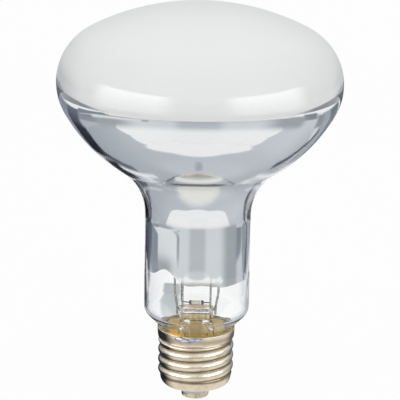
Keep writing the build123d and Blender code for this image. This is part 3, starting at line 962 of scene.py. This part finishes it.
class BULB_OT_wires(bpy.types.Operator):
    """Bend the leads and the frame wires and clamp the band"""

    bl_idname = "bulb.wires"
    bl_label = "Leads and frame"

    def execute(self, context):
        s = context.scene.stem_sizes
        tints = context.scene.bulb_finishes
        nickel = mottled("nickel_wire", tints.wire, 0.26, 900)
        left_top = [(-4, 0, 23), (-4.8, 0, 25), (-4.8, 0, 40), (-4.8, -12, 72), (-4.8, -12, 86)]
        left_tail = [(-4, 0, 23), (-4, 0, 17.3), (-2.6, -11.25, 17.3), (-2.6, -11.25, 24.1)]
        left_tail += [(-2.83, -12.28, 25.75), (-2.97, -12.86, 25.75)]
        right_top = [(4, 0, 23), (4.8, 0, 25), (4.8, 0, 40), (5.5, -8.5, 60), (5.5, -8.5, 117), (0, 0, 117)]
        right_tail = [(4, 0, 23), (4, 0, 11), (0, 0, 7), (0, 0, 0.4)]
        for name, top, tail, bend in (
            ("shell_lead", left_top, left_tail, 0.5),
            ("contact_lead", right_top, right_tail, 1.2),
        ):
            bm = bmesh.new()
            run_wire(bm, top, s.lead_radius)
            run_wire(bm, tail, s.tail_radius, bend)
            tidy(bm)
            piece(f"{name}_wire", bm, [nickel], "nickel_wire", name)
        for name, side in (("left", -1), ("right", 1)):
            bm = bmesh.new()
            foot, spread = 6.6 * side, 7.5 * side
            path = [(foot, 0, 29.6), (foot, 0, 32.6), (spread, 0, 37.5), (spread, 0, 113)]
            run_wire(bm, path, s.frame_radius)
            tidy(bm)
            piece(f"frame_{name}", bm, [nickel], "nickel_wire", f"frame_wire_{name}")
        # Painted light: the band takes the wire's colour made brighter.
        self.band(s, mottled("band_metal", [part * 1.5 for part in tints.wire], 0.2, 900))
        dress(nickel, "arc_tube_straps", "filament_link")
        tungsten = mottled("tungsten_wire", tints.tungsten, 0.4, 900)
        dress(tungsten, "electrode_lower", "electrode_upper", "starting_probe", "seal_foils")
        dress(tungsten, "arc_tube_pins", "ballast_filament", "filament_hooks")
        return {"FINISHED"}

    @staticmethod
    def band(s, finish):
        """Flat band clamped round the press."""
        bm = bmesh.new()
        half = s.press_depth / 2 + s.band_wall
        side = s.press_width / 2 + s.band_wall - half
        place = Matrix.Translation((0, 0, s.band_level))
        bmesh.ops.create_circle(bm, segments=64, radius=half, matrix=place)
        for vert in bm.verts:
            vert.co.x += math.copysign(side, vert.co.x) if abs(vert.co.x) > CLOSE else 0
        top, _ = extruded(bm, bm.edges[:])
        bmesh.ops.translate(bm, vec=(0, 0, s.band_height), verts=top)
        tidy(bm)
        bmesh.ops.solidify(bm, geom=bm.faces[:], thickness=s.band_wall)
        piece("press_band", bm, [finish], "nickel_wire", "stem_collar")


class BULB_OT_resistor(bpy.types.Operator):
    """Turn the starting resistor with its end caps and thin wires"""

    bl_idname = "bulb.resistor"
    bl_label = "Starting resistor"

    def execute(self, context):
        s = context.scene.stem_sizes
        tints = context.scene.bulb_finishes
        half = s.rod_length / 2
        radius = s.rod_radius * 0.92
        waist = radius * 0.96
        body = Outline(0, -half)
        body.line((radius, -half), (waist, -half / 2), (waist, half / 2), (radius, half), (0, half))
        rod = self.lay(s, body.turn(32))
        piece("resistor_rod", rod, [self.banded(tints)], "resistor_body", "starting_resistor")
        caps = bmesh.new()
        lip, end = 0.2 * MM, half + s.rod_cap
        for side in (-1, 1):
            cap = Outline(0, side * half)
            cap.line((s.rod_radius, side * half), (s.rod_radius, side * (end - lip)))
            cap.line((s.rod_radius - lip, side * end), (0, side * end))
            shape = bpy.data.meshes.new("end_cap")
            self.lay(s, cap.turn(32)).to_mesh(shape)
            caps.from_mesh(shape)
            bpy.data.meshes.remove(shape)
        level = s.rod_level / MM
        run_wire(caps, [(2.3, 0, level), (4.8, 0, level)], s.thin_radius)
        riser = [(-5.2, 0.7, level), (-5.2, 0.7, 54), (2.8, 0.7, 54), (2.8, 0, 57)]
        run_wire(caps, [(-2.3, 0, level)] + riser, s.thin_radius, 0.6)
        tidy(caps)
        finish = mottled("end_cap_metal", tints.tungsten, 0.35, 900)
        piece("resistor_ends", caps, [finish], "tungsten", "resistor_caps")
        return {"FINISHED"}

    @staticmethod
    def lay(s, bm):
        """Lays a turned shape along X at the resistor's height."""
        bmesh.ops.rotate(bm, cent=(0, 0, 0), matrix=Matrix.Rotation(math.pi / 2, 3, "Y"), verts=bm.verts)
        bmesh.ops.translate(bm, vec=(0, 0, s.rod_level), verts=bm.verts)
        return bm

    @staticmethod
    def banded(tints):
        """Pale body with brown bands, glowing with painted light."""
        finish = Finish("resistor_body", coat_weight=0.4, emission_strength=0.3)
        x, _, _ = finish.axes(finish.place)
        pitch = 0.74 * MM
        bands = finish.step(finish.math("SINE", x * (math.tau / pitch)), 0.2, 0.6)
        tint = finish.blend(bands * 0.5, tints.rod, tints.rod_band)
        finish.feed("Base Color", tint)
        # Painted light: the body glows in its own colours.
        finish.feed("Emission Color", tint)
        finish.feed("Roughness", 0.35 + 0.2 * finish.grain(1800))
        return finish


def plain(name, bm, material):
    """Makes a stage object from a bmesh."""
    mesh = bpy.data.meshes.new(name)
    bm.to_mesh(mesh)
    bm.free()
    mesh.materials.append(material)
    made = bpy.data.objects.new(name, mesh)
    bpy.context.scene.collection.objects.link(made)
    return made


def reflect(name, bm, tint, mask, glass=True, strength=1.0):
    """Makes a stage surface that only reflections show, with or without those behind the glass."""
    made = plain(name, bm, Glow(name, tint, mask, strength).material)
    made.visible_camera = False
    made.visible_diffuse = False
    made.visible_shadow = False
    made.visible_transmission = glass
    return made


FLOOR = -0.6 * MM
CARD_FLOOR = -0.5 * MM
CARD_STEP = 0.02 * MM
# Height of the raised cards above the floor in millimetres.
RAISED = 34
WHITE_CARD = (0.90, 0.905, 0.895)


def on_floor(level):
    """Height of a card in the pile on the floor."""
    return CARD_FLOOR + CARD_STEP * level


def sheet(half_x, half_y, y=0.0, z=0.0):
    """Level rectangle on the lamp axis, or moved along Y and Z."""
    bm = bmesh.new()
    bmesh.ops.create_grid(bm, x_segments=1, y_segments=1, size=1)
    bmesh.ops.scale(bm, vec=(half_x, half_y, 1), verts=bm.verts)
    bmesh.ops.translate(bm, vec=(0, y, z), verts=bm.verts)
    return bm


def ring_wall(near, far, foot, rise):
    """Round wall about the lamp, with a radius at its foot and one at its top."""
    bm = bmesh.new()
    bmesh.ops.create_circle(bm, segments=96, radius=near, matrix=Matrix.Translation((0, 0, foot)))
    top, _ = extruded(bm, bm.edges[:])
    bmesh.ops.scale(bm, vec=(far / near, far / near, 1), verts=top)
    bmesh.ops.translate(bm, vec=(0, 0, rise), verts=top)
    return bm


def card(level, name, box, near, far, soft=4, along="X", turn=0, height=0):
    """Soft level card in millimetres, by the floor or above it; its tint changes along X or Y."""
    x0, x1, y0, y1 = (edge * MM for edge in box)
    half = Vector(((x1 - x0) / 2, (y1 - y0) / 2))
    soft = soft * MM

    def mask(glow, x, y, z):
        return glow.window(x, -half.x, half.x, soft) * glow.window(y, -half.y, half.y, soft)

    def tint(glow, x, y, z):
        share = glow.step(x, -half.x, half.x) if along == "X" else glow.step(y, -half.y, half.y)
        return glow.blend(share, near, far)

    made = reflect(name, sheet(half.x + soft, half.y + soft), tint, mask)
    made.location = ((x0 + x1) / 2, (y0 + y1) / 2, on_floor(level) + height * MM)
    made.rotation_euler.z = math.radians(turn)


class BULB_OT_stage(bpy.types.Operator):
    """Set the floor, the cards, the light and the camera"""

    bl_idname = "bulb.stage"
    bl_label = "Stage"

    def execute(self, context):
        s = context.scene.stage_sizes
        scene = context.scene
        scene.view_settings.view_transform = "Standard"
        self.world(scene, s)
        self.floor(s)
        self.cards()
        self.strips()
        self.front_card()
        self.front_rise()
        self.neck_ring()
        self.left_card()
        self.cap_tray()
        self.low_wall()
        self.panels(s)
        self.divider()
        for side in (-1, 1):
            self.key(s, side)
        self.camera(scene, s)
        return {"FINISHED"}

    @staticmethod
    def world(scene, s):
        """White surroundings; their light on the lamp is weaker from low down."""
        scene.world = bpy.data.worlds.new("studio")
        scene.world.use_nodes = True
        nodes = Nodes(scene.world.node_tree)
        _, _, z = nodes.axes(nodes.node("ShaderNodeTexCoord")["Generated"])
        light = s.low_level + nodes.step(z, 0.1, 0.8) * (s.sky_level - s.low_level)
        seen = nodes.seen()
        back = scene.world.node_tree.nodes["Background"]
        nodes.set(back.inputs["Color"], WHITE)
        nodes.set(back.inputs["Strength"], seen + light * (1 - seen))

    @staticmethod
    def floor(s):
        """White floor that takes only a faint shadow."""
        finish = Finish("pale_floor", base_color=(0.65, 0.65, 0.65), roughness=0.9)
        glow = finish.node("ShaderNodeEmission")["Emission"]
        share = finish.seen() * (1 - s.shadow_share)
        finish.mix(share, Value(finish, finish.shader.outputs["BSDF"]), glow)
        plain("floor", sheet(4, 4, z=FLOOR), finish.material)

    @staticmethod
    def cards():
        """Level cards on the floor, from the lowest of the pile."""
        card(0, "middle_card", (-250, 250, -70, 108), (0.44, 0.475, 0.515), (0.60, 0.635, 0.67), 8)
        card(1, "left_side_card", (-265, -165, -50, 108), (0.22, 0.25, 0.29), (0.28, 0.31, 0.35), 8)
        card(2, "right_side_card", (200, 265, 0, 78), (0.24, 0.27, 0.30), (0.22, 0.25, 0.28), 8)
        card(3, "left_back_card", (-240, -70, 205, 360), (0.24, 0.28, 0.32), (0.34, 0.37, 0.40), 12)
        card(4, "left_dark_card", (-240, -120, 105, 212), (0.15, 0.18, 0.22), (0.08, 0.09, 0.12), 8)
        card(5, "left_black_card", (-132, -78, 92, 205), (0.035, 0.04, 0.055), (0.02, 0.022, 0.03), 6)
        card(6, "left_inner_card", (-76, -53, 62, 175), (0.22, 0.25, 0.29), (0.30, 0.33, 0.37), 6)
        card(3, "right_back_card", (68, 240, 188, 330), (0.26, 0.29, 0.33), (0.18, 0.21, 0.25), 12)
        card(4, "right_pale_card", (70, 240, 116, 190), (0.42, 0.45, 0.49), (0.36, 0.40, 0.44), 8)
        card(7, "back_white_card", (-46, 46, 50, 128), (0.98, 0.98, 0.98), (0.98, 0.98, 0.98), 8)
        grey = (0.64, 0.67, 0.69), (0.40, 0.43, 0.44)
        card(9, "back_grey_card", (-19, -8, 70, 135), *grey, 1.5, "Y")
        card(8, "left_edge_card", (-74, -47, 90, 175), (0.03, 0.035, 0.045), (0.05, 0.055, 0.07), 5)
        card(5, "right_inner_card", (140, 225, 84, 130), (0.30, 0.33, 0.36), (0.28, 0.31, 0.34), 6)
        for side in (-1, 1):
            inner, outer = sorted((side * 44, side * 420))
            box, tint = (inner, outer, 365, 600), (0.10, 0.12, 0.15)
            card(13, f"edge_card_{side}", box, tint, tint, 8)

    @staticmethod
    def strips():
        """Narrow cards whose reflections draw lines and spots on the bowl and at the waist."""
        cream, grey = (0.80, 0.80, 0.74), (0.34, 0.36, 0.40)
        card(9, "cream_card", (-10, 10, -24.5, -21), cream, cream, 1, height=70)
        card(12, "post_strip", (-3, 3, -34, -15), grey, grey, 3)
        for level, name, box, near, far, soft, turn in (
            (14, "left_dark_strip", (-81, -31, 34, 42), (0.07, 0.08, 0.10), (0.16, 0.17, 0.20), 2.5, -56),
            (15, "left_white_strip", (-63, -15, 23, 29), (0.95, 0.96, 0.98), (0.80, 0.82, 0.85), 2.5, -63),
            (14, "right_dark_strip", (35, 113, 52, 60), (0.08, 0.09, 0.11), (0.05, 0.055, 0.07), 3, 53),
            (15, "right_white_strip", (14, 68, 43, 49), (0.80, 0.82, 0.85), (0.93, 0.94, 0.96), 3, 83),
        ):
            card(level, name, box, near, far, soft, turn=turn, height=RAISED)

    @staticmethod
    def front_card():
        """White card on the floor in front, its back edge hollow in the middle."""

        def mask(glow, x, y, z):
            hollow = glow.step(abs(x), 22 * MM, 80 * MM) * 26 - glow.step(abs(x), 125 * MM, 170 * MM) * 30
            return 1 - glow.step(y - hollow * MM, -62 * MM, -58 * MM)

        bm = sheet(490 * MM, 350 * MM, y=-370 * MM)
        reflect("front_card", bm, lambda *at: WHITE_CARD, mask).location.z = on_floor(8)

    @staticmethod
    def front_rise():
        """Raised strip of white card in front, its back edge bowed."""

        def mask(glow, x, y, z):
            side = abs(x)
            back = y - glow.step(side, 18 * MM, 52 * MM) * (9 * MM)
            front = y - glow.step(side, 20 * MM, 46 * MM) * (16 * MM)
            ends = 1 - glow.step(side, 44 * MM, 50 * MM)
            return ends * glow.step(front, -64 * MM, -60 * MM) * (1 - glow.step(back, -45 * MM, -42 * MM))

        bm = sheet(140 * MM, 140 * MM)
        reflect("front_rise", bm, lambda *at: WHITE_CARD, mask).location.z = RAISED * MM

    @staticmethod
    def neck_ring():
        """Grey ring round the front, that the neck shows."""

        def mask(glow, x, y, z):
            radius = glow.radius(x, y)
            ring = glow.step(radius, 115 * MM, 175 * MM) * (1 - glow.step(radius, 232 * MM, 250 * MM))
            return ring * (1 - glow.step(abs(glow.around(x, y)), 1.55, 1.75))

        def tint(glow, x, y, z):
            side = abs(glow.around(x, y))
            shade = glow.blend(glow.step(side, 0.20, 0.40), (0.49, 0.52, 0.535), (0.66, 0.685, 0.70))
            return glow.blend(glow.step(side, 0.80, 1.25), shade, (0.36, 0.395, 0.415))

        reflect("neck_ring", sheet(250 * MM, 250 * MM), tint, mask).location.z = on_floor(10)

    @staticmethod
    def left_card():
        """White card at the left with a grey edge, that the neck shows."""

        def place(glow, x, y):
            """Distance from the axis, and angle from the card's stepped edge."""
            radius = glow.radius(x, y)
            edge = 0.82 - 0.32 * glow.step(radius, 220.5 * MM, 226.5 * MM)
            return radius, glow.math("ARCTAN2", -y, -x) - edge

        def mask(glow, x, y, z):
            radius, turn = place(glow, x, y)
            ring = glow.step(radius, 190 * MM, 218 * MM) * (1 - glow.step(radius, 224 * MM, 232 * MM))
            return ring * glow.window(turn, -0.92, 0.06, 0.03)

        def tint(glow, x, y, z):
            _, turn = place(glow, x, y)
            return glow.blend(glow.step(turn, -0.07, -0.01), (0.76, 0.78, 0.79), (0.34, 0.36, 0.37))

        reflect("left_card", sheet(240 * MM, 240 * MM), tint, mask).location.z = on_floor(11)

    @staticmethod
    def cap_tray():
        """Round tray about the lamp's foot that only bare metal shows, dark at the back."""

        def tint(glow, x, y, z):
            turn, radius = glow.around(x, y), glow.radius(x, y)
            front = glow.blend(glow.step(abs(turn), 0.18, 0.50), (0.45, 0.43, 0.40), (1.0, 0.98, 0.94))
            rings = glow.blend(glow.step(radius, 60 * MM, 95 * MM), (0.48, 0.45, 0.40), front)
            rings = glow.blend(glow.step(radius, 34 * MM, 52 * MM), (0.88, 0.85, 0.79), rings)
            dark = glow.step(-turn, 1.0, 1.7) + 0.8 * glow.step(turn, 1.5, 2.3)
            return glow.blend(dark, rings, (0.02, 0.022, 0.04))

        bm = bmesh.new()
        bmesh.ops.create_circle(bm, cap_ends=True, segments=96, radius=150 * MM)
        made = reflect("cap_tray", bm, tint, lambda *at: 1.0, glass=False)
        made.location.z = CARD_FLOOR / 5

    @staticmethod
    def panels(s):
        """Slanted bright panels at both sides of the front that only the outer gloss shows."""

        def tint(glow, x, y, z):
            return glow.blend(glow.step(z, 0, 240 * MM), (0.5, 0.5, 0.5), WHITE)

        def mask(glow, x, y, z):
            return glow.window(abs(glow.around(x, y)), 0.42, 1.45, 0.16)

        bm = ring_wall(300 * MM, 700 * MM, 33 * MM, 267 * MM)
        reflect("panels", bm, tint, mask, glass=False, strength=s.panel_level)

    @staticmethod
    def divider():
        """Grey card on edge between the panels, so that each side's gloss shows its own panel."""
        depth, height, foot = 600 * MM, 260 * MM, 46 * MM
        bm = sheet(height / 2, depth / 2)
        bmesh.ops.rotate(bm, matrix=Matrix.Rotation(math.pi / 2, 3, "Y"), verts=bm.verts)
        bmesh.ops.translate(bm, vec=(0, -depth / 2, foot + height / 2), verts=bm.verts)
        reflect("divider", bm, lambda *at: (0.30, 0.31, 0.33), lambda *at: 1.0, glass=False)

    @staticmethod
    def low_wall():
        """Low grey wall round the stage, darker behind the lamp, that only reflections show."""

        def tint(glow, x, y, z):
            return glow.blend(glow.step(y, -600 * MM, 500 * MM), (0.55, 0.55, 0.57), (0.42, 0.44, 0.47))

        def mask(glow, x, y, z):
            return 1 - glow.step(z, 160 * MM, 300 * MM)

        reflect("low_wall", ring_wall(1200 * MM, 1200 * MM, 0, 320 * MM), tint, mask)

    @staticmethod
    def key(s, side):
        """Soft light at the front, low at one side."""
        light = bpy.data.lights.new(f"softbox_{side}", "AREA")
        light.shape = "RECTANGLE"
        light.size, light.size_y = s.key_width, s.key_depth
        light.energy = s.key_power
        made = bpy.data.objects.new(f"softbox_{side}", light)
        made.location = (s.key_side * side, -s.key_front, s.key_height)
        aim = Vector((0, 0, s.key_aim)) - made.location
        made.rotation_euler = aim.to_track_quat("-Z", "Y").to_euler()
        made.visible_glossy = False
        made.visible_transmission = False
        bpy.context.scene.collection.objects.link(made)

    @staticmethod
    def camera(scene, s):
        """Camera that stands off from the lamp axis and leans a little."""
        data = bpy.data.cameras.new("photo_camera")
        data.sensor_width = 36
        data.lens = s.lens
        data.clip_start = 0.01
        made = bpy.data.objects.new("photo_camera", data)
        scene.collection.objects.link(made)
        down, side = math.sin(s.elevation), math.cos(s.elevation)
        stand = Vector((0, 0, s.aim_height))
        place = stand + s.distance * Vector((0, -side, down))
        right, up = Vector((1, 0, 0)), Vector((0, down, side))
        lean_right = right * math.cos(s.roll) + up * math.sin(s.roll)
        lean_up = up * math.cos(s.roll) - right * math.sin(s.roll)
        ahead = (stand + lean_right * s.side_aim - lean_up * s.low_aim - place).normalized()
        lean_right = ahead.cross(lean_up).normalized()
        turn = Matrix((lean_right, lean_right.cross(ahead), -ahead)).transposed()
        made.matrix_world = Matrix.Translation(place) @ turn.to_4x4()
        scene.camera = made


class BULB_PT_panel(bpy.types.Panel):
    """Lists the pieces of the bulb"""

    bl_idname = "BULB_PT_panel"
    bl_label = "Reflector bulb"
    bl_space_type = "VIEW_3D"
    bl_region_type = "UI"
    bl_category = "Bulb"

    def draw(self, context):
        for operator in OPERATORS:
            self.layout.operator(operator.bl_idname)
        for name in GROUPS:
            group = getattr(context.scene, name)
            for prop in group.bl_rna.properties:
                if prop.identifier not in ("rna_type", "name"):
                    self.layout.prop(group, prop.identifier)


GROUPS = {
    "bulb_sizes": BulbSizes,
    "cap_sizes": CapSizes,
    "stem_sizes": StemSizes,
    "bulb_finishes": FinishColours,
    "stage_sizes": StageSizes,
}
OPERATORS = [
    BULB_OT_glass,
    BULB_OT_cap,
    BULB_OT_contact,
    BULB_OT_solder,
    BULB_OT_cement,
    BULB_OT_stem,
    BULB_OT_wires,
    BULB_OT_resistor,
    BULB_OT_stage,
]


def register():
    for item in [*GROUPS.values(), *OPERATORS, BULB_PT_panel]:
        bpy.utils.register_class(item)
    for name, group in GROUPS.items():
        setattr(bpy.types.Scene, name, bpy.props.PointerProperty(type=group))


def unregister():
    for name in GROUPS:
        delattr(bpy.types.Scene, name)
    for item in [BULB_PT_panel, *OPERATORS, *GROUPS.values()]:
        bpy.utils.unregister_class(item)


def main():
    register()
    bpy.ops.bulb.glass()
    bpy.ops.bulb.cap()
    bpy.ops.bulb.contact()
    bpy.ops.bulb.solder()
    bpy.ops.bulb.cement()
    bpy.ops.bulb.stem()
    bpy.ops.bulb.wires()
    bpy.ops.bulb.resistor()
    bpy.ops.bulb.stage()


if __name__ == "__main__":
    main()
